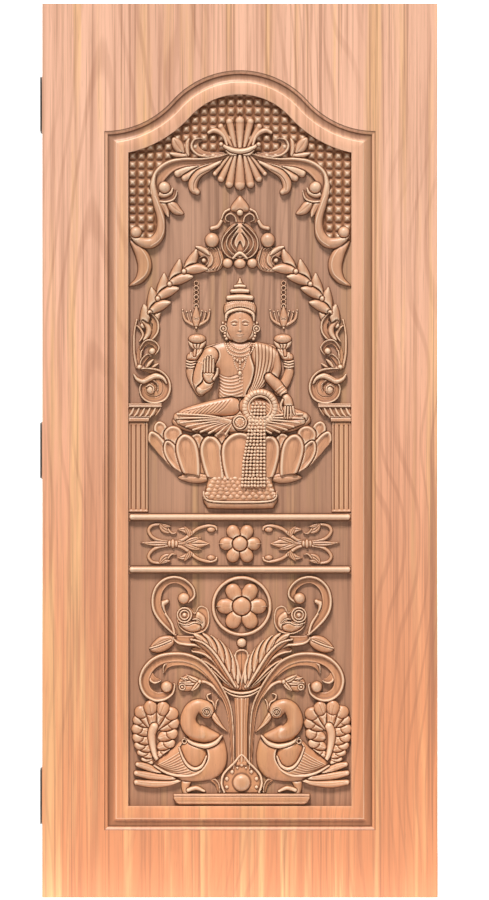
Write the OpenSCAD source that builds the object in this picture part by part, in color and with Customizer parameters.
// Carved temple door leaf with three butt hinges.
// Origin: middle of the bottom edge. X across, Y front (-) to back (+), Z up.

/* [Leaf] */
// Width of the leaf
leaf_w = 905; // [750:1:1100]
// Height of the leaf
leaf_h = 2045; // [1700:1:2460]
// Thickness of the leaf
leaf_t = 40; // [34:1:50]
// Width of each stile
stile_w = 142.5; // [110:0.5:180]
// Height of the bottom rail
bottom_rail_h = 154; // [120:1:200]
// Height of the top rail above the shoulders of the arch
top_rail_h = 292; // [240:1:350]
// Rise of the arch above its shoulders
arch_rise = 139; // [110:1:170]

/* [Moulding] */
// Width of the hollow moulding, from its outer edge to the flat band
mould_w = 27; // [22:1:34]
// Width of the flat band inside the moulding
band_w = 28; // [22:1:34]
// Depth of the hollow below the face
hollow_d = 7; // [4:0.5:9]
// Depth of the band below the face
band_d = 0.5; // [0.2:0.1:2]
// Depth of the panel ground below the face
ground_d = 16; // [13:0.5:19]

/* [Panel and joints] */
// Thickness of the panel board
board_t = 14; // [10:0.5:17]
// Depth of the board's edge in its groove
tongue = 10; // [6:0.5:14]
// Empty depth left in the groove so that the board can move
groove_play = 1; // [0.5:0.5:2]
// Length of the tenons
tenon_l = 60; // [45:1:75]
// Thickness of the tenons
tenon_t = 13; // [10:0.5:16]
// Empty depth at the end of each mortise
tenon_play = 1; // [0.5:0.5:3]

/* [Carving] */
// Height of the scrolls and leaves above the ground
scroll_h = 11; // [8:0.5:14]
// Extra height of balls, ties and ridges
ridge_h = 3; // [2:0.5:5]
// Height of the low frieze ornament
frieze_h = 7; // [5:0.5:9]
// Height of the seated figure's robe and limbs
figure_h = 14; // [10:0.5:16]
// Pitch of the small pyramids
stud_pitch = 20.5; // [15:0.5:28]
// Height of the small pyramids
stud_h = 5; // [3:0.5:7]
// Radius of the two long beads
bead_r = 10; // [8:0.5:12]
// Width of the pilasters
pilaster_w = 45; // [36:1:54]
// Radius of the pilaster flutes
flute_r = 3.5; // [2:0.5:4.5]
// Distance across one coin in the stream
coin_d = 8; // [5:0.5:9]

/* [Hinges] */
// Height of each hinge
hinge_h = 125; // [100:1:150]
// Thickness of the hinge plates
hinge_t = 3; // [2.5:0.1:3.5]
// Width of each plate on the wood
plate_w = 31.5; // [26:0.5:36]
// Outer radius of the knuckles
knuckle_r = 6; // [5:0.5:7]
// Radius of the pin
pin_r = 3.5; // [3:0.1:4]
// Radial running clearance of the pin
pin_play = 0.05; // [0.02:0.01:0.1]
// Gap between neighbouring knuckles
knuckle_gap = 0.3; // [0.2:0.1:0.6]
// Gap between the two plates when the door is shut
edge_gap = 3; // [2:0.5:4]
// Height of the bottom hinge's middle above the floor edge
hinge_low = 230; // [180:5:300]
// Distance of the top hinge's middle below the top
hinge_top = 230; // [180:5:300]
// Radius of the screw holes in the jamb side plates
jamb_hole_r = 2.6; // [2.4:0.1:3]
// Radius of the screw holes in the door side plates
door_hole_r = 2.2; // [2.1:0.1:2.3]
// Radius of the screw shanks
shank_r = 2; // [1.6:0.1:2.1]
// Length of the screws under the head
screw_l = 32; // [25:1:40]
// Distance between the two screw columns
screw_col = 15; // [12:0.5:18]
// Distance between the two screw rows
screw_row = 88; // [70:1:100]

/* [Hidden] */
$fn = 64;

face_y = -leaf_t / 2;                       // front face of the leaf
ground_y = face_y + ground_d;               // sunk ground of the panel
open_x = leaf_w / 2 - stile_w;              // half width of the framed opening
open_top = leaf_h - top_rail_h;             // shoulders of the arch
arch_r = (pow(open_x, 2) + pow(arch_rise, 2)) / (4 * arch_rise);
crown_z = open_top + arch_rise - arch_r;    // centre of the crown arc
should_z = open_top + arch_r;               // centre of each shoulder arc
frame_w = mould_w + band_w;
wood = [0.86, 0.64, 0.48];
carved = [0.9, 0.7, 0.54];
sunk = [0.7, 0.52, 0.41];
metal = [0.72, 0.6, 0.34];

// ---- mapping of the design grid on to the panel: the grid was drawn for a ground
// that is 510 wide and runs from 209 up to 1837
grid_x = 255;
grid_low = 209;
grid_high = 1837;
ground_x = open_x - frame_w;
ground_low = bottom_rail_h + frame_w;
ground_high = open_top + arch_rise - frame_w;
kx = ground_x / grid_x;
kz = (ground_high - ground_low) / (grid_high - grid_low);
k = min(kx, kz);
lower_x = 4;                                // axis of the lower panel's ornament
function gx(x) = x * kx;
function gz(z) = ground_low + (z - grid_low) * kz;
function at(p) = [gx(p[0]), gz(p[1])];

// ---- curves
steps = 5;
function cr(a, b, c, d, t) = 0.5 * (2 * b + (c - a) * t + (2 * a - 5 * b + 4 * c - d) * t * t
    + (3 * b - a - 3 * c + d) * t * t * t);
function pick(p, i) = p[max(0, min(len(p) - 1, i))];
function wrap(p, i) = p[(i + len(p)) % len(p)];
function open_curve(p) = concat([for (i = [0:len(p) - 2]) for (s = [0:steps - 1])
    cr(pick(p, i - 1), p[i], p[i + 1], pick(p, i + 2), s / steps)], [p[len(p) - 1]]);
function loop_curve(p) = [for (i = [0:len(p) - 1]) for (s = [0:steps - 1])
    cr(wrap(p, i - 1), p[i], wrap(p, i + 1), wrap(p, i + 2), s / steps)];
function side(a, b) = let (d = [b[0] - a[0], b[1] - a[1]]) [-d[1], d[0]] / norm(d);
function edge(c, s) = [for (i = [0:len(c) - 1]) let (n = side(pick(c, i - 1), pick(c, i + 1)))
    [gx(c[i][0]) + s * n[0] * c[i][2] * k, gz(c[i][1]) + s * n[1] * c[i][2] * k]];
function back_to_front(p) = [for (i = [len(p) - 1:-1:0]) p[i]];

// a line of changing half width through points [x, z, half width]
module strip(p) {
    c = open_curve(p);
    polygon(concat(edge(c, 1), back_to_front(edge(c, -1))));
}
// a smooth closed outline and a straight-edged one
module blob(p) polygon([for (q = loop_curve(p)) at(q)]);
module facet(p) polygon([for (q = p) at(q)]);
module disc(p, r) translate(at(p)) circle(r * k);
// a rib with a round end at a and a narrow end at b
module rib(a, ra, b, rb) {
    disc(a, ra);
    strip([[a[0], a[1], ra], [b[0], b[1], rb]]);
}
module raised(h, from = 0)
    translate([0, ground_y - from, 0]) rotate([90, 0, 0]) linear_extrude(height = h) children();
// a ball sunk in the ground, whose top stands h above it
module ball(p, r, h) translate([gx(p[0]), ground_y, gz(p[1])]) rotate([90, 0, 0])
    rotate_extrude() intersection() {
        translate([0, h - r * k]) circle(r * k);
        square([r * k, h]);
    }
module ring_tube(p, r, t, up)
    translate([gx(p[0]), ground_y - up, gz(p[1])]) rotate([90, 0, 0])
        rotate_extrude() translate([r * k, 0]) circle(t * k);
module other_side(x = 0) translate([2 * gx(x), 0, 0]) mirror([1, 0, 0]) children();

// ---- framed opening, moved inwards by d
module opening(d) {
    intersection() {
        difference() {
            polygon([[-open_x - leaf_w, bottom_rail_h + d], [open_x + leaf_w, bottom_rail_h + d],
                [open_x + leaf_w, should_z], [open_x, should_z], [0, crown_z],
                [-open_x, should_z], [-open_x - leaf_w, should_z]]);
            for (s = [-1, 1]) translate([s * open_x, should_z]) circle(arch_r + d);
        }
        translate([-(open_x - d), bottom_rail_h + d])
            square([2 * (open_x - d), should_z - bottom_rail_h - d - arch_r / 2]);
    }
    translate([0, crown_z]) circle(arch_r - d);
}
module through(y0, y1)
    translate([0, y1, 0]) rotate([90, 0, 0]) linear_extrude(height = y1 - y0) children();

// ---- joinery
groove = tongue + groove_play;
module groove_void() through(ground_y, ground_y + board_t) opening(-groove);
module panel_board()
    color(sunk) through(ground_y, ground_y + board_t) opening(-tongue);

tenon_low = [bottom_rail_h * 0.2, bottom_rail_h * 0.75];
tenon_high = [leaf_h - top_rail_h * 0.8, leaf_h - top_rail_h * 0.2];
module tenon(z, l, s) translate([s > 0 ? open_x : -open_x - l, -tenon_t / 2, z[0]])
    cube([l, tenon_t, z[1] - z[0]]);
module mortises(s) {
    tenon(tenon_low, tenon_l + tenon_play, s);
    tenon(tenon_high, tenon_l + tenon_play, s);
}
module stile(s) difference() {
    translate([s > 0 ? open_x : -leaf_w / 2, face_y, 0]) cube([stile_w, leaf_t, leaf_h]);
    mortises(s);
    groove_void();
}
module left_stile() color(wood) difference() {
    stile(-1);
    for (z = hinge_z) {
        translate([-leaf_w / 2, plate_y0, z - hinge_h / 2]) cube([hinge_t, leaf_t, hinge_h]);
        screw_places(z) rotate([0, 90, 0]) cylinder(r = shank_r + pin_play, h = screw_l + 1);
    }
}
module right_stile() color(wood) stile(1);
module top_rail() color(wood) {
    difference() {
        translate([-open_x, face_y, open_top]) cube([2 * open_x, leaf_t, top_rail_h]);
        through(face_y - 1, -face_y + 1) opening(0);
        groove_void();
    }
    for (s = [-1, 1]) tenon(tenon_high, tenon_l, s);
}
module bottom_rail() color(wood) {
    difference() {
        translate([-open_x, face_y, 0]) cube([2 * open_x, leaf_t, bottom_rail_h]);
        groove_void();
    }
    for (s = [-1, 1]) tenon(tenon_low, tenon_l, s);
}

// ---- planted moulding: [distance from the outer edge, depth below the face]
quirk = 8;
section = [[0, 1], [quirk, hollow_d - 2], [quirk, hollow_d], [quirk + 3, hollow_d],
    [mould_w - 2, hollow_d - 1], [mould_w, band_d], [frame_w - 1, band_d],
    [frame_w, band_d + 1], [frame_w, ground_d], [0, ground_d]];
corner_z = should_z - sqrt(pow(arch_r + frame_w, 2) - pow(frame_w, 2));
module mould_side() intersection() {
    translate([0, 0, bottom_rail_h])
        linear_extrude(height = open_top - bottom_rail_h)
            polygon([for (q = section) [-open_x + q[0], face_y + q[1]]]);
    through(face_y - 1, 1) polygon([[-open_x, bottom_rail_h],
        [-ground_x, bottom_rail_h + frame_w], [-ground_x, corner_z], [-open_x, open_top]]);
}
module moulding_left() color(wood) mould_side();
module moulding_right() color(wood) other_side() mould_side();
module moulding_bottom() color(wood) intersection() {
    translate([-open_x, 0, bottom_rail_h]) rotate([90, 0, 90])
        linear_extrude(height = 2 * open_x)
            polygon([for (q = section) [face_y + q[1], q[0]]]);
    through(face_y - 1, 1) polygon([[-open_x, bottom_rail_h], [open_x, bottom_rail_h],
        [ground_x, bottom_rail_h + frame_w], [-ground_x, bottom_rail_h + frame_w]]);
}
// the section turned about a centre; s = 1 takes the radius outwards, -1 inwards
module mould_turn(c, s) translate([c[0], 0, c[1]]) rotate([90, 0, 0])
    rotate_extrude() polygon([for (q = section) [arch_r + s * q[0], -face_y - q[1]]]);
module moulding_head() color(wood) {
    intersection() {
        mould_turn([0, crown_z], -1);
        through(face_y - 1, 1) polygon([[0, crown_z], [open_x, should_z], [0, leaf_h + open_x],
            [-open_x, should_z]]);
    }
    for (s = [0, 1]) mirror([s, 0, 0]) intersection() {
        mould_turn([open_x, should_z], 1);
        through(face_y - 1, 1) polygon([[0, crown_z], [ground_x, corner_z], [open_x, open_top],
            [open_x, should_z]]);
    }
}

// ---- crest, its scrolls and the diapered field round them
tie = [[-43, 1723, 3], [-30, 1714, 5], [-15, 1708, 6], [0, 1706, 7],
    [15, 1708, 6], [30, 1714, 5], [43, 1723, 3]];
module crest_2d() {
    rib([0, 1778], 11, [0, 1704], 4);
    rib([0, 1630], 12, [0, 1704], 4);
    for (s = [-1, 1]) {
        rib([s * 23, 1772], 8, [s * 7, 1706], 3);
        rib([s * 43, 1762], 6, [s * 13, 1708], 2.5);
        rib([s * 24, 1634], 8, [s * 8, 1704], 3);
        rib([s * 42, 1645], 6, [s * 14, 1702], 2.5);
        rib([s * 55, 1657], 4, [s * 20, 1702], 2);
    }
    strip(tie);
}
module crest() color(carved) {
    raised(scroll_h) crest_2d();
    raised(scroll_h + ridge_h) strip(tie);
}
s_scroll = [[-26, 1698, 3], [-50, 1691, 5], [-90, 1686, 6], [-130, 1683, 8], [-165, 1674, 12],
    [-186, 1655, 14], [-195, 1630, 14], [-198, 1605, 11], [-193, 1580, 10], [-184, 1555, 12],
    [-184, 1530, 13], [-192, 1508, 13], [-210, 1494, 12], [-232, 1498, 7], [-248, 1510, 4]];
module crest_scroll_2d() {
    strip(s_scroll);
    disc([-173, 1621], 14);
    disc([-237, 1521], 14);
    strip([[-198, 1612, 6], [-180, 1602, 7], [-162, 1602, 6], [-149, 1610, 5], [-144, 1621, 2]]);
    blob([[-252, 1500], [-232, 1486], [-214, 1469], [-204, 1445], [-208, 1420], [-228, 1404],
        [-253, 1398], [-252, 1406], [-242, 1420], [-238, 1440], [-242, 1465]]);
    strip([[-50, 1678, 3], [-90, 1672, 5], [-120, 1668, 6], [-140, 1658, 6], [-152, 1646, 2]]);
    strip([[-46, 1672, 3], [-80, 1664, 4], [-105, 1655, 5], [-122, 1644, 5], [-134, 1636, 2]]);
    strip([[-58, 1669, 3], [-74, 1662, 4], [-92, 1653, 6], [-105, 1638, 7], [-107, 1622, 8],
        [-98, 1612, 6], [-87, 1612, 2]]);
    blob([[-194, 1592], [-165, 1592], [-146, 1588], [-136, 1575], [-128, 1563], [-148, 1562],
        [-162, 1549], [-174, 1552], [-182, 1572]]);
    strip([[-34, 1697, 2], [-55, 1694, 4], [-80, 1694, 6], [-98, 1702, 7], [-106, 1716, 7],
        [-102, 1728, 6], [-90, 1734, 4], [-80, 1731, 1]]);
    strip([[-31, 1722, 2], [-38, 1739, 3], [-48, 1750, 4], [-60, 1755, 4], [-71, 1750, 4],
        [-76, 1740, 1]]);
    blob([[-128, 1704], [-133, 1722], [-142, 1732], [-152, 1736], [-156, 1731], [-152, 1718],
        [-148, 1704], [-136, 1698]]);
    strip([[-121, 1696, 5], [-124, 1716, 6], [-121, 1729, 5], [-113, 1735, 2]]);
    strip([[-160, 1697, 2], [-148, 1700, 3], [-134, 1697, 5], [-112, 1692, 5]]);
}
module crest_scroll() {
    raised(scroll_h) difference() {
        crest_scroll_2d();
        crest_2d();
    }
    raised(scroll_h + ridge_h) strip([for (q = s_scroll) if (q[2] > 4.5) [q[0], q[1], q[2] * 0.4]]);
    ball([-173, 1621], 14, scroll_h + 2 * ridge_h);
    ball([-237, 1521], 14, scroll_h + 2 * ridge_h);
}
module crest_scroll_left() color(carved) crest_scroll();
module crest_scroll_right() color(carved) other_side() crest_scroll();

stud_base = 1.5;                            // thickness under the pyramids
tooth_n = 2 + ceil(2 * open_x / stud_pitch);
function teeth(o) = concat([[o, 0], [o + tooth_n * stud_pitch, 0]],
    [for (i = [tooth_n:-1:0], j = [0, 1]) if (j == 0 || i > 0)
        [o + (i - j / 2) * stud_pitch, stud_base + (j == 0 ? 0 : stud_h)]]);
tooth_x = -(floor(tooth_n / 2) + 0.5) * stud_pitch;
tooth_z = gz(1820) - (tooth_n - 3.5) * stud_pitch;
// rows of ridges one way meeting rows the other way leave square pyramids
module stud_field() intersection() {
    translate([0, ground_y, gz(grid_low)])
        linear_extrude(height = leaf_h) mirror([0, 1]) polygon(teeth(tooth_x));
    translate([-leaf_w, ground_y, 0]) rotate([90, 0, 90])
        linear_extrude(height = 2 * leaf_w) mirror([1, 0])
            polygon([for (q = teeth(tooth_z)) [q[1], q[0]]]);
}
module diaper() intersection() {
    stud_field();
    raised(stud_base + stud_h + 1) difference() {
        intersection() {
            opening(frame_w);
            facet([[0, 1860], [0, 1706], [-26, 1698], [-50, 1691], [-90, 1686], [-130, 1683],
                [-165, 1674], [-186, 1655], [-195, 1630], [-198, 1605], [-193, 1580],
                [-184, 1555], [-184, 1530], [-192, 1508], [-210, 1494], [-232, 1498],
                [-250, 1500], [-290, 1500], [-290, 1860]]);
        }
        crest_2d();
        crest_scroll_2d();
    }
}
module diaper_left() color(sunk) diaper();
module diaper_right() color(sunk) other_side() diaper();

// ---- finial over the garland arch
egg = [[0, 1540], [-22, 1534], [-38, 1515], [-43, 1492], [-36, 1472], [-18, 1461], [0, 1459],
    [18, 1461], [36, 1472], [43, 1492], [38, 1515], [22, 1534]];
module finial_side_2d() {
    strip([[-14, 1532, 4], [-8, 1545, 4], [-9, 1558, 4], [-20, 1566, 4], [-31, 1560, 4],
        [-31, 1552, 2]]);
    strip([[-36, 1558, 2], [-42, 1545, 4], [-48, 1533, 4], [-62, 1530, 4]]);
    disc([-64, 1504], 16);
    blob([[-98, 1488], [-85, 1486], [-70, 1484], [-52, 1484], [-42, 1474], [-38, 1455],
        [-45, 1441], [-60, 1433], [-80, 1433], [-76, 1445], [-82, 1458], [-92, 1468]]);
    disc([-28, 1452], 11);
}
module finial_2d() {
    blob([[0, 1603], [12, 1594], [20, 1580], [22, 1570], [10, 1569], [0, 1564], [-10, 1569],
        [-22, 1570], [-20, 1580], [-12, 1594]]);
    facet([[-5, 1567], [5, 1567], [5, 1536], [-5, 1536]]);
    blob(egg);
    disc([0, 1453], 12);
    finial_side_2d();
    mirror([1, 0]) finial_side_2d();
}
module finial() color(carved) {
    raised(scroll_h) finial_2d();
    raised(scroll_h + ridge_h) {
        difference() {
            blob(egg);
            translate(at([0, 1496])) scale(0.86) translate(-at([0, 1496])) blob(egg);
        }
        for (s = [-1, 0, 1]) strip([[s * 6, 1478, 2], [s * 16, 1498, 3], [s * 14, 1524, 2]]);
    }
    ball([0, 1568], 6, scroll_h + ridge_h);
    ball([0, 1451], 11, scroll_h + ridge_h);
    for (s = [-1, 1]) {
        ball([s * 64, 1504], 16, scroll_h + 2 * ridge_h);
        ball([s * 28, 1451], 10, scroll_h + ridge_h);
    }
}

// ---- garland arch: pairs of laurel leaves on a stem, ending in volutes
hoop_z = 1262;
hoop_r = 217;
leaf_step = 10.5;
function leaf_points(c, a, l, w) = [for (q = [[0, 0], [0.25, 0.42], [0.55, 0.5], [0.85, 0.25],
    [1, 0], [0.85, -0.25], [0.55, -0.5], [0.25, -0.42]])
    [c[0] + q[0] * l * cos(a) - q[1] * w * sin(a), c[1] + q[0] * l * sin(a) + q[1] * w * cos(a)]];
function hoop(a, r) = [r * cos(a), hoop_z + r * sin(a)];
module garland_2d() {
    for (i = [0:4]) {
        a = 163 - i * leaf_step;
        blob(leaf_points(hoop(a + 3, hoop_r + 6), a - 72, 50, 24));
        blob(leaf_points(hoop(a + 1, hoop_r - 3), a - 112, 48, 20));
    }
    strip([for (a = [168:-6:112]) concat(hoop(a, hoop_r), [3])]);
    strip([[-236, 1322, 3], [-240, 1290, 3], [-241, 1245, 3], [-235, 1212, 3]]);
    strip([[-207, 1325, 5], [-196, 1310, 7], [-196, 1296, 7], [-208, 1280, 6], [-222, 1268, 6],
        [-230, 1250, 5], [-230, 1230, 5], [-226, 1214, 4]]);
    strip([[-228, 1318, 5], [-212, 1304, 6], [-211, 1290, 6], [-218, 1276, 4]]);
    strip([[-226, 1264, 3], [-212, 1271, 4], [-198, 1268, 4], [-191, 1256, 4], [-196, 1246, 4]]);
    disc([-200, 1252], 7);
    blob([[-228, 1240], [-210, 1246], [-203, 1232], [-196, 1214], [-212, 1204], [-230, 1208]]);
    strip([[-218, 1208, 5], [-196, 1206, 6], [-177, 1194, 8], [-169, 1174, 8], [-171, 1154, 8],
        [-186, 1142, 7], [-206, 1141, 7], [-220, 1152, 7]]);
    disc([-200, 1165], 26);
    blob([[-240, 1192], [-222, 1197], [-205, 1202], [-185, 1202], [-175, 1190], [-190, 1182],
        [-212, 1177], [-228, 1176], [-238, 1183]]);
}
module garland() {
    raised(scroll_h) difference() {
        garland_2d();
        finial_2d();
    }
    raised(scroll_h + ridge_h)
        strip([[-180, 1190, 3], [-171, 1172, 4], [-174, 1152, 4], [-192, 1142, 4],
            [-212, 1147, 4], [-220, 1162, 3]]);
    ball([-205, 1162], 9, scroll_h + 2 * ridge_h);
    ball([-200, 1252], 7, scroll_h + ridge_h);
}
module garland_left() color(carved) garland();
module garland_right() color(carved) other_side() garland();

// ---- pilasters with capitals
cap_top = 1131;
abacus_low = 1121;
cap_low = 1088;
pil_low = 880;
module pilaster() difference() {
    translate([-ground_x, ground_y - scroll_h + ridge_h, gz(pil_low)])
        cube([pilaster_w * k, scroll_h - ridge_h, gz(cap_low) - gz(pil_low)]);
    for (i = [-1, 0, 1]) translate([-ground_x + (0.5 + i * 0.27) * pilaster_w * k,
        ground_y - scroll_h + ridge_h - 1, gz(pil_low + 10)])
        cylinder(r = flute_r * k, h = gz(cap_low - 10) - gz(pil_low + 10));
}
module pilaster_left() color(carved) pilaster();
module pilaster_right() color(carved) other_side() pilaster();
module capital() {
    raised(scroll_h + ridge_h) facet([[-255, abacus_low], [-178, abacus_low], [-178, cap_top],
        [-255, cap_top]]);
    raised(scroll_h) facet([[-255, abacus_low], [-184, abacus_low], [-187, 1112], [-193, 1103],
        [-202, 1097], [-255, 1096]]);
    raised(scroll_h + ridge_h / 2) facet([[-255, cap_low], [-208, cap_low], [-206, 1097],
        [-255, 1097]]);
}
module capital_left() color(carved) capital();
module capital_right() color(carved) other_side() capital();

// ---- hanging lamps
link_n = 6;
link_pitch = 10.5;
module lamp_2d() {
    for (i = [0:link_n - 1]) difference() {
        disc([-100, 1405 - i * link_pitch], 7);
        disc([-100, 1405 - i * link_pitch], 3);
    }
    difference() {
        disc([-100, 1338], 33);
        facet([[-140, 1324], [-60, 1324], [-60, 1400], [-140, 1400]]);
    }
    rib([-128, 1336], 3, [-128, 1322], 4);
    rib([-114, 1332], 3, [-114, 1318], 4);
    rib([-86, 1332], 3, [-86, 1318], 4);
    rib([-72, 1336], 3, [-72, 1322], 4);
    strip([[-100, 1350, 4], [-100, 1340, 8], [-100, 1322, 10]]);
    disc([-100, 1306], 4);
}
module lamp_left() color(carved) raised(frieze_h) difference() {
    lamp_2d();
    garland_2d();
}
module lamp_right() color(carved) other_side() raised(frieze_h) difference() {
    lamp_2d();
    garland_2d();
}

// ---- coin stream, pot, lotus, plinth
pot = [49, 1122];
pot_r = 44;
mouth_r = 20;
stream = [[26, 1128], [58, 1128], [59, 1095], [58, 940], [2, 940], [6, 1000], [16, 1050],
    [21, 1095]];
coin_rows = floor((1120 - 945) * kz / (coin_d + 1));
function stream_left(z) = z > 1095 ? 24 : z > 1050 ? lookup(z, [[1050, 17], [1095, 22]])
    : z > 1000 ? lookup(z, [[1000, 7], [1050, 17]]) : lookup(z, [[940, 4], [1000, 7]]);
module stream_2d() facet(stream);
module coin_stream() color(carved) {
    raised(figure_h) stream_2d();
    for (i = [0:coin_rows - 1]) {
        z = 948 + i * (coin_d + 1) / kz;
        n = floor((57 - stream_left(z)) * kx / (coin_d + 1));
        raised(ridge_h / 2, figure_h) for (j = [0:n - 1])
            translate([gx(56) - (j + 0.5) * (coin_d + 1), gz(z)]) circle(coin_d / 2);
    }
}
module pot_2d() disc(pot, pot_r);
module coin_pot() color(carved) difference() {
    union() {
        raised(figure_h) disc(pot, pot_r);
        ring_tube(pot, pot_r - 8, 6, figure_h);
        ring_tube(pot, mouth_r + 5, 3, figure_h);
    }
    raised(figure_h + 10, 4) disc(pot, mouth_r);
    raised(2 * figure_h + 10, -1) stream_2d();
}

petal_mid = [[0, 1064], [-22, 1058], [-37, 1036], [-40, 1006], [-28, 976], [0, 957],
    [28, 976], [40, 1006], [37, 1036], [22, 1058]];
petal_two = [[-68, 1056], [-84, 1049], [-95, 1030], [-93, 1000], [-80, 976], [-62, 962],
    [-49, 980], [-44, 1010], [-47, 1040], [-56, 1052]];
petal_three = [[-128, 1059], [-145, 1051], [-155, 1030], [-150, 1002], [-135, 982],
    [-115, 976], [-103, 992], [-98, 1018], [-102, 1045], [-114, 1056]];
petal_four = [[-204, 1063], [-190, 1061], [-176, 1048], [-164, 1022], [-152, 996],
    [-134, 980], [-155, 985], [-178, 1003], [-196, 1034]];
module lotus_half_2d() {
    blob(petal_two);
    blob(petal_three);
    blob(petal_four);
    facet([[0, 962], [-62, 965], [-130, 979], [-170, 1006], [-186, 1036], [-160, 1048], [0, 1050]]);
    blob([[-172, 1050], [-166, 1072], [-156, 1078], [-143, 1071], [-132, 1052], [-150, 1036]]);
    blob([[-196, 1060], [-195, 1078], [-185, 1087], [-173, 1080], [-166, 1064], [-180, 1050]]);
    blob([[-112, 1050], [-106, 1060], [-97, 1063], [-88, 1060], [-82, 1050], [-97, 1040]]);
    blob([[-56, 1048], [-51, 1061], [-42, 1066], [-32, 1062], [-24, 1050], [-40, 1040]]);
}
module lotus_2d() {
    blob(petal_mid);
    lotus_half_2d();
    mirror([1, 0]) lotus_half_2d();
}
module petal_rims() {
    blob(petal_mid);
    for (s = [0, 1]) mirror([s, 0]) {
        blob(petal_two);
        blob(petal_three);
        blob(petal_four);
    }
}
module petal_dish(p, c) translate(at(c)) scale(0.84) translate(-at(c)) blob(p);
module lotus_seat() color(carved) difference() {
    union() {
        raised(scroll_h - ridge_h) lotus_2d();
        raised(scroll_h + ridge_h) petal_rims();
    }
    raised(figure_h, scroll_h) {
        petal_dish(petal_mid, [0, 1012]);
        for (s = [0, 1]) mirror([s, 0]) {
            petal_dish(petal_two, [-70, 1010]);
            petal_dish(petal_three, [-127, 1018]);
        }
    }
    raised(2 * figure_h, -1) stream_2d();
}
plinth_x = [-60, 62];
plinth_z = 913;
plinth_r = 25;
module plinth_2d() {
    for (x = plinth_x) disc([x, plinth_z], plinth_r);
    facet([[plinth_x[0], plinth_z - plinth_r], [plinth_x[1], plinth_z - plinth_r],
        [plinth_x[1], plinth_z + plinth_r], [plinth_x[0], plinth_z + plinth_r]]);
}
module side_leaf_2d() blob([[-142, 960], [-128, 969], [-108, 973], [-85, 970], [-62, 965],
    [-66, 956], [-78, 950], [-98, 947], [-124, 951]]);
module lotus_plinth() color(carved) {
    raised(scroll_h + ridge_h) difference() {
        plinth_2d();
        stream_2d();
    }
    raised(scroll_h) difference() {
        facet([[-79, 932], [-74, 948], [-62, 966], [62, 966], [74, 948], [81, 932]]);
        lotus_2d();
        plinth_2d();
        stream_2d();
    }
    raised(frieze_h) difference() {
        for (s = [0, 1]) mirror([s, 0]) side_leaf_2d();
        lotus_2d();
        facet([[-79, 932], [-74, 948], [-62, 966], [62, 966], [74, 948], [81, 932]]);
    }
}

// ---- seated figure with four arms
module hand_lotus_2d() blob([[-121, 1275], [-110, 1284], [-98, 1287], [-86, 1284], [-75, 1275],
    [-86, 1266], [-94, 1256], [-103, 1256], [-110, 1266]]);
module back_arm_2d() {
    blob([[-122, 1213], [-114, 1188], [-101, 1164], [-86, 1172], [-88, 1195], [-97, 1213]]);
    blob([[-121, 1244], [-106, 1248], [-92, 1256], [-88, 1242], [-98, 1226], [-99, 1208],
        [-121, 1208]]);
    strip([[-103, 1262, 5], [-104, 1240, 5]]);
    hand_lotus_2d();
}
module raised_arm_2d() blob([[-84, 1246], [-94, 1215], [-103, 1175], [-98, 1154], [-85, 1148],
    [-69, 1157], [-56, 1178], [-50, 1202], [-54, 1228], [-66, 1240]]);
module torso_2d() blob([[-62, 1263], [-34, 1270], [0, 1271], [34, 1270], [62, 1265], [83, 1251],
    [90, 1234], [82, 1212], [66, 1192], [54, 1170], [46, 1140], [0, 1130], [-44, 1140],
    [-48, 1176], [-56, 1205], [-74, 1228], [-84, 1244], [-76, 1257]]);
module lap_2d() blob([[-60, 1134], [-100, 1126], [-130, 1114], [-148, 1099], [-152, 1082],
    [-142, 1060], [-100, 1045], [0, 1045], [100, 1045], [142, 1060], [159, 1084], [156, 1104],
    [136, 1116], [100, 1122], [60, 1130], [20, 1142], [-20, 1142]]);
module low_arm_2d() blob([[66, 1176], [88, 1176], [104, 1162], [118, 1150], [124, 1132],
    [120, 1112], [112, 1096], [100, 1096], [94, 1120], [84, 1150]]);
module hair_2d() blob([[-38, 1345], [-32, 1358], [-27, 1366], [0, 1370], [27, 1366], [33, 1358],
    [39, 1345], [36, 1325], [43, 1308], [40, 1286], [28, 1276], [0, 1272], [-28, 1276],
    [-40, 1286], [-42, 1308], [-36, 1325]]);
module crown_2d() facet([[0, 1418], [-5, 1410], [-9, 1400], [-12, 1399], [-12, 1393],
    [-15, 1388], [-19, 1381], [-24, 1380], [-27, 1374], [-28, 1364], [28, 1364], [27, 1374],
    [24, 1380], [19, 1381], [15, 1388], [12, 1393], [12, 1399], [9, 1400], [5, 1410]]);
module neck_2d() facet([[-15, 1282], [15, 1282], [20, 1262], [-20, 1262]]);
module figure_only(h, from = 0) raised(h, from) difference() {
    children();
    lotus_2d();
    stream_2d();
    pot_2d();
}
module figure() color(carved) {
    figure_only(figure_h - 2 * ridge_h) {
        back_arm_2d();
        mirror([1, 0]) back_arm_2d();
        hair_2d();
        crown_2d();
        neck_2d();
    }
    figure_only(figure_h - ridge_h) {
        torso_2d();
        crown_2d();
    }
    figure_only(figure_h) {
        lap_2d();
        low_arm_2d();
        raised_arm_2d();
    }
    figure_only(figure_h + ridge_h) {
        facet([[-28, 1366], [28, 1366], [28, 1374], [-28, 1374]]);
        facet([[-12, 1393], [12, 1393], [12, 1399], [-12, 1399]]);
        disc([1, 1087], 18);
    }
    ball([0, 1310], 32, figure_h + 2 * ridge_h);
    ball([0, 1294], 26, figure_h + 1.5 * ridge_h);
    ball([-98, 1272], 14, figure_h);
    ball([98, 1272], 14, figure_h);
}

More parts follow.
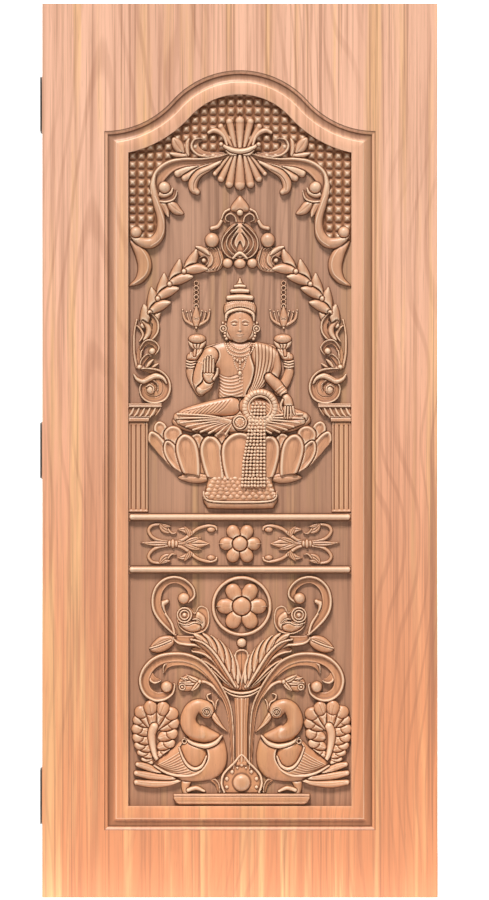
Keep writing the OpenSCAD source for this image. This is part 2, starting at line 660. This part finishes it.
// ---- beads and frieze
module bead(z) {
    for (s = [-1, 1]) difference() {
        translate([s * (ground_x - bead_r), ground_y - bead_r / 2, gz(z)]) sphere(bead_r);
        translate([-leaf_w, ground_y, 0]) cube([2 * leaf_w, leaf_t, leaf_h]);
    }
    difference() {
        translate([-ground_x + bead_r, ground_y - bead_r / 2, gz(z)]) rotate([0, 90, 0])
            cylinder(r = bead_r, h = 2 * (ground_x - bead_r));
        translate([-leaf_w, ground_y, 0]) cube([2 * leaf_w, leaf_t, leaf_h]);
    }
}
module bead_rail_upper() color(carved) bead(869.5);
module bead_rail_lower() color(carved) bead(749.5);

petal_n = 6;
module flower(c, ring, petal, boss, h) {
    raised(h / 2) disc(c, ring);
    for (i = [0:petal_n - 1]) let (a = i * 360 / petal_n)
        translate([ring * k * cos(a), 0, ring * k * sin(a)]) ball(c, petal, h);
    ball(c, boss, h + ridge_h);
}
frieze_z = 809;
module rosette() color(carved) flower([0, frieze_z], 31, 15, 18, scroll_h);
function flip(p) = [for (q = p) concat([q[0], 2 * frieze_z - q[1]], len(q) > 2 ? [q[2]] : [])];
s_line = [[-58, 847, 2], [-68, 850, 3], [-82, 849, 3], [-98, 842, 3], [-115, 828, 3],
    [-133, 818, 3], [-153, 814, 3], [-178, 816, 3], [-198, 825, 3],
    [-208, 838, 3], [-202, 848, 3], [-188, 852, 3], [-174, 852, 2]];
lobe = [[-182, 842], [-170, 847], [-160, 840], [-158, 832], [-146, 834], [-152, 826], [-168, 828]];
blade = [[-142, 840], [-128, 846], [-115, 842], [-111, 830], [-124, 826], [-136, 832]];
module frieze_scroll() raised(frieze_h) {
    strip(s_line);
    strip(flip(s_line));
    blob(lobe);
    blob(flip(lobe));
    blob(blade);
    blob(flip(blade));
    blob([[-226, 811], [-210, 816], [-185, 814], [-160, 813], [-160, 805], [-185, 805], [-210, 805]]);
    blob([[-74, 810], [-90, 818], [-108, 816], [-140, 813], [-140, 805], [-108, 802], [-90, 801]]);
    disc([-153, 809], 10);
    disc([-62, 841], 6);
    disc([-62, 2 * frieze_z - 841], 6);
}
module frieze_scroll_left() color(carved) frieze_scroll();
module frieze_scroll_right() color(carved) other_side() frieze_scroll();

// ---- lower panel
medal = [lower_x, 666];
medal_r = 65;
medal_t = 5;
module medallion_ring() color(carved) {
    raised(scroll_h - medal_t * k) difference() {
        disc(medal, medal_r + medal_t);
        disc(medal, medal_r - medal_t);
    }
    difference() {
        ring_tube(medal, medal_r, medal_t, scroll_h - medal_t * k);
        translate([-leaf_w, ground_y, 0]) cube([2 * leaf_w, leaf_t, leaf_h]);
    }
}
module medallion_flower() color(carved) flower(medal, 37, 17, 21, scroll_h);
module ball_drop() color(carved) ball([lower_x, 582], 11, scroll_h + ridge_h);

module loop_2d() blob([[4, 568], [-9, 562], [-12, 548], [-6, 525], [1, 500], [3, 482], [5, 482],
    [7, 500], [14, 525], [20, 548], [17, 562]]);
module vase_rings_2d() {
    facet([[-34, 478], [-20, 472], [4, 469], [28, 472], [42, 478], [44, 470], [28, 464], [4, 461],
        [-20, 464], [-36, 470]]);
    facet([[-29, 464], [4, 457], [37, 464], [32, 458], [20, 455], [-12, 455], [-24, 458]]);
}
module tear_2d() facet([[4, 328], [-13, 311], [-33, 290], [-42, 275], [-44, 258], [-38, 238],
    [46, 238], [52, 258], [50, 275], [41, 290], [21, 311]]);
module stem_2d() facet([[-14, 458], [22, 458], [18, 400], [17, 300], [-9, 300], [-10, 400]]);
module vase() color(carved) {
    raised(scroll_h) difference() {
        union() {
            loop_2d();
            vase_rings_2d();
            stem_2d();
        }
        tear_2d();
    }
    raised(scroll_h + ridge_h) loop_2d();
    raised(scroll_h + ridge_h) vase_rings_2d();
}
module plume_2d() facet([[4, 476], [-34, 479], [-44, 490], [-56, 507], [-61, 520], [-46, 527],
    [-58, 535], [-70, 542], [-81, 550], [-74, 555], [-95, 555], [-110, 562], [-100, 570],
    [-118, 570], [-135, 574], [-148, 586], [-152, 600], [-92, 599], [-60, 597], [-45, 584],
    [-33, 565], [-26, 574], [-12, 556], [4, 520]]);
module plume() {
    raised(scroll_h - ridge_h) difference() {
        plume_2d();
        loop_2d();
        vase_rings_2d();
    }
    raised(scroll_h) difference() {
        union() {
            strip([[-150, 596, 2], [-138, 583, 5], [-110, 577, 5], [-80, 575, 4], [-55, 560, 3]]);
            strip([[-108, 562, 2], [-88, 562, 4], [-62, 556, 4], [-42, 540, 2]]);
            strip([[-80, 550, 1], [-62, 540, 3], [-40, 526, 3], [-28, 508, 2]]);
            strip([[-92, 598, 1], [-68, 588, 4], [-48, 565, 4], [-32, 535, 3], [-20, 500, 2]]);
        }
        loop_2d();
    }
}
module plume_left() color(carved) plume();
module plume_right() color(carved) other_side(lower_x) plume();

module upper_scroll() {
    raised(scroll_h) {
        strip([[-150, 607, 5], [-162, 622, 9], [-179, 640, 11], [-190, 660, 12], [-193, 682, 12],
            [-186, 705, 11], [-170, 722, 9], [-150, 728, 8], [-130, 722, 9], [-114, 708, 9],
            [-111, 692, 9], [-120, 682, 7]]);
        strip([[-162, 625, 6], [-174, 642, 8], [-179, 660, 7], [-174, 674, 6], [-163, 680, 2]]);
        blob([[-206, 571], [-190, 593], [-166, 598], [-155, 592], [-151, 580], [-165, 566],
            [-185, 559], [-200, 562]]);
        disc([-129, 684], 13);
    }
    raised(scroll_h + ridge_h) strip([[-168, 624, 2], [-190, 646, 3], [-202, 680, 3],
        [-194, 708, 3], [-172, 730, 3], [-148, 734, 3], [-122, 726, 3], [-106, 708, 3],
        [-105, 690, 2]]);
    ball([-129, 684], 13, scroll_h + 2 * ridge_h);
}
module upper_scroll_left() color(carved) upper_scroll();
module upper_scroll_right() color(carved) other_side(lower_x) upper_scroll();

module rose() {
    raised(scroll_h - ridge_h) blob([[-144, 640], [-140, 658], [-128, 665], [-113, 661],
        [-104, 652], [-99, 662], [-88, 667], [-75, 660], [-70, 645], [-71, 625], [-80, 609],
        [-95, 603], [-115, 603], [-132, 611], [-141, 622]]);
    raised(scroll_h) {
        disc([-127, 646], 18);
        strip([[-138, 626, 2], [-122, 616, 6], [-102, 614, 6], [-88, 622, 3]]);
        strip([[-98, 655, 2], [-86, 648, 6], [-80, 634, 6], [-82, 620, 3]]);
    }
    raised(scroll_h + ridge_h) {
        difference() {
            disc([-127, 646], 14);
            disc([-127, 646], 10);
        }
        disc([-127, 646], 6);
    }
}
module rose_left() color(carved) rose();
module rose_right() color(carved) other_side(lower_x) rose();

c_scroll = [[-16, 300, 3], [-17, 340, 4], [-20, 395, 4], [-26, 435, 5], [-40, 468, 6],
    [-62, 503, 7], [-88, 532, 8], [-118, 547, 9], [-150, 550, 10], [-184, 543, 12],
    [-209, 524, 12], [-220, 498, 12], [-214, 473, 12], [-196, 459, 11], [-176, 459, 10],
    [-159, 469, 8], [-154, 484, 6]];
module bird_scroll() {
    raised(scroll_h) difference() {
        union() {
            strip(c_scroll);
            strip([[-173, 516, 3], [-170, 532, 5], [-152, 540, 6], [-125, 540, 6], [-98, 530, 6],
                [-76, 512, 4]]);
            strip([[-210, 518, 5], [-208, 504, 7], [-198, 494, 7], [-187, 495, 3]]);
            strip([[-32, 442, 3], [-46, 463, 4], [-62, 483, 4], [-78, 493, 4], [-94, 493, 5]]);
            blob([[-92, 500], [-105, 507], [-120, 509], [-135, 502], [-142, 490], [-139, 476],
                [-127, 471], [-112, 472], [-99, 479], [-92, 487]]);
            disc([-168, 482], 13);
        }
        stem_2d();
        vase_rings_2d();
        plume_2d();
        tear_2d();
    }
    raised(scroll_h + ridge_h) strip([[-96, 542, 2], [-120, 554, 3], [-150, 558, 3],
        [-188, 550, 3], [-216, 530, 3], [-229, 500, 3], [-222, 470, 3], [-202, 452, 3],
        [-178, 450, 3], [-155, 460, 2]]);
    ball([-168, 482], 13, scroll_h + 2 * ridge_h);
    ball([-134, 483], 5, scroll_h + ridge_h);
}
module bird_scroll_left() color(carved) bird_scroll();
module bird_scroll_right() color(carved) other_side(lower_x) bird_scroll();

module neck_and_head_2d() blob([[-62, 402], [-58, 420], [-66, 440], [-82, 453], [-102, 454],
    [-121, 444], [-132, 425], [-135, 400], [-130, 378], [-118, 362], [-100, 353], [-75, 350],
    [-56, 355], [-42, 369], [-60, 377], [-80, 386], [-95, 398], [-107, 412], [-106, 423],
    [-96, 424], [-88, 414], [-76, 404]]);
module body_2d() blob([[-118, 362], [-80, 350], [-56, 354], [-41, 366], [-33, 345], [-30, 320],
    [-36, 294], [-52, 276], [-76, 267], [-110, 264], [-138, 268], [-165, 284], [-196, 303],
    [-180, 322], [-150, 345], [-135, 358]]);
module fan_2d() blob([[-196, 303], [-220, 316], [-238, 342], [-243, 372], [-243, 398],
    [-232, 412], [-228, 426], [-213, 438], [-200, 438], [-190, 445], [-172, 443], [-156, 432],
    [-148, 412], [-140, 402], [-142, 382], [-150, 368], [-150, 352], [-160, 340], [-176, 318]]);
module peacock() {
    raised(scroll_h - ridge_h) difference() {
        union() {
            fan_2d();
            body_2d();
            facet([[-138, 272], [-134, 238], [-76, 238], [-78, 250], [-92, 253], [-114, 252],
                [-104, 268]]);
            strip([[-234, 301, 5], [-212, 295, 6], [-188, 286, 5]]);
            strip([[-236, 282, 5], [-205, 276, 6], [-165, 272, 4], [-148, 276, 4]]);
            strip([[-237, 264, 5], [-200, 261, 6], [-160, 264, 4], [-142, 268, 4]]);
            strip([[-60, 425, 2], [-57, 440, 3], [-61, 454, 3], [-70, 462, 4]]);
            strip([[-68, 272, 3], [-60, 268, 4], [-52, 258, 4], [-50, 240, 3]]);
        }
        tear_2d();
    }
    raised(scroll_h + ridge_h / 2) body_wing_2d();
    raised(scroll_h) {
        neck_and_head_2d();
        facet([[-64, 404], [-57, 420], [-45, 404], [-29, 378], [-46, 389]]);
        strip([[-185, 305, 2], [-205, 345, 4], [-208, 380, 6], [-200, 400, 4]]);
        for (i = [0:5]) disc([-231 + 2 * i, 400 - 18 * i], 9 - i);
        for (i = [0:3]) disc([-156 - 3 * i, 392 - 20 * i], 11 - i);
        disc([-214, 422], 12);
        disc([-178, 424], 14);
    }
    ball([-76, 424], 12, scroll_h + 2 * ridge_h);
}
module body_wing_2d() blob([[-135, 340], [-120, 357], [-95, 352], [-78, 342], [-74, 320],
    [-84, 300], [-102, 291], [-120, 300], [-130, 318]]);
module peacock_left() color(carved) peacock();
module peacock_right() color(carved) other_side(lower_x) peacock();

bead_spots = [[-30, 271], [-30, 252], [-16, 287], [38, 271], [38, 252], [24, 287], [4, 303]];
module teardrop() color(carved) {
    raised(frieze_h) tear_2d();
    raised(scroll_h + ridge_h) difference() {
        tear_2d();
        translate(at([4, 268])) scale(0.84) translate(-at([4, 268])) tear_2d();
    }
    ball([4, 262], 19, scroll_h + 2 * ridge_h);
    for (p = bead_spots) ball(p, 4, scroll_h);
}
module base_plinth() color(carved) raised(scroll_h + ridge_h)
    facet([[-153, 238], [161, 238], [161, 226], [155, 216], [148, 212], [-140, 212],
        [-147, 216], [-153, 226]]);

// ---- hinges on the left edge; the pin stands behind the back face
axis_x = -leaf_w / 2 - edge_gap / 2;
axis_y = leaf_t / 2 + knuckle_r + 1;
plate_y0 = leaf_t / 2 - plate_w;
plate_mid = plate_y0 + plate_w / 2;
hinge_z = [hinge_low, (hinge_low + leaf_h - hinge_top) / 2, leaf_h - hinge_top];
bore_r = pin_r + pin_play;
knuckle_n = 5;
knuckle_l = hinge_h / knuckle_n;
pin_head_h = 3;
sink_d = 2;                                 // depth of the countersinks
module screw_places(z) for (c = [-1, 1], r = [-1, 1])
    translate([-leaf_w / 2, plate_mid + c * screw_col / 2, z + r * screw_row / 2]) children();
module screw_void(r) rotate([0, 90, 0]) {
    translate([0, 0, -1]) cylinder(r = r, h = hinge_t + 2);
    cylinder(r1 = r + sink_d, r2 = r, h = sink_d);
}
// one half hinge; parity 0 carries knuckles 1, 3 and 5, parity 1 carries 2 and 4
module half_hinge(z, parity, hole_r) difference() {
    union() {
        translate([-leaf_w / 2, plate_y0, z - hinge_h / 2])
            cube([hinge_t, axis_y - plate_y0, hinge_h]);
        for (i = [0:knuckle_n - 1]) if (i % 2 == parity)
            translate([axis_x, axis_y, z - hinge_h / 2 + i * knuckle_l])
                cylinder(r = knuckle_r, h = knuckle_l);
    }
    for (i = [0:knuckle_n - 1]) if (i % 2 != parity)
        translate([axis_x, axis_y, z - hinge_h / 2 + i * knuckle_l - knuckle_gap])
            cylinder(r = knuckle_r + 2 * knuckle_gap, h = knuckle_l + 2 * knuckle_gap);
    translate([axis_x, axis_y, z - hinge_h]) cylinder(r = bore_r, h = 2 * hinge_h);
    screw_places(z) screw_void(hole_r);
}
module jamb_hinge(z) translate([2 * axis_x, 0, 0]) mirror([1, 0, 0]) half_hinge(z, 0, jamb_hole_r);
module hinge_door_leaves() color(metal) for (z = hinge_z) half_hinge(z, 1, door_hole_r);
module hinge_jamb_bottom() color(metal) jamb_hinge(hinge_z[0]);
module hinge_jamb_middle() color(metal) jamb_hinge(hinge_z[1]);
module hinge_jamb_top() color(metal) jamb_hinge(hinge_z[2]);
module hinge_pins() color(metal) for (z = hinge_z)
    translate([axis_x, axis_y, z - hinge_h / 2]) {
        cylinder(r = pin_r, h = hinge_h);
        for (h = [-pin_head_h, hinge_h]) translate([0, 0, h])
            cylinder(r = pin_r + 1.5, h = pin_head_h);
    }
slot_w = 1;
head_r = door_hole_r + sink_d - 0.2;
module hinge_screws() color(metal) for (z = hinge_z) screw_places(z) difference() {
    rotate([0, 90, 0]) {
        cylinder(r1 = head_r, r2 = shank_r, h = sink_d);
        cylinder(r = shank_r, h = screw_l);
    }
    translate([-slot_w, -head_r - 1, -slot_w / 2]) cube([2 * slot_w, 2 * head_r + 2, slot_w]);
}

left_stile();
right_stile();
top_rail();
bottom_rail();
panel_board();
moulding_left();
moulding_right();
moulding_bottom();
moulding_head();
diaper_left();
diaper_right();
crest();
crest_scroll_left();
crest_scroll_right();
finial();
garland_left();
garland_right();
capital_left();
capital_right();
pilaster_left();
pilaster_right();
lamp_left();
lamp_right();
figure();
coin_pot();
coin_stream();
lotus_seat();
lotus_plinth();
bead_rail_upper();
bead_rail_lower();
rosette();
frieze_scroll_left();
frieze_scroll_right();
medallion_ring();
medallion_flower();
ball_drop();
vase();
plume_left();
plume_right();
upper_scroll_left();
upper_scroll_right();
rose_left();
rose_right();
bird_scroll_left();
bird_scroll_right();
peacock_left();
peacock_right();
teardrop();
base_plinth();
hinge_door_leaves();
hinge_jamb_bottom();
hinge_jamb_middle();
hinge_jamb_top();
hinge_pins();
hinge_screws();
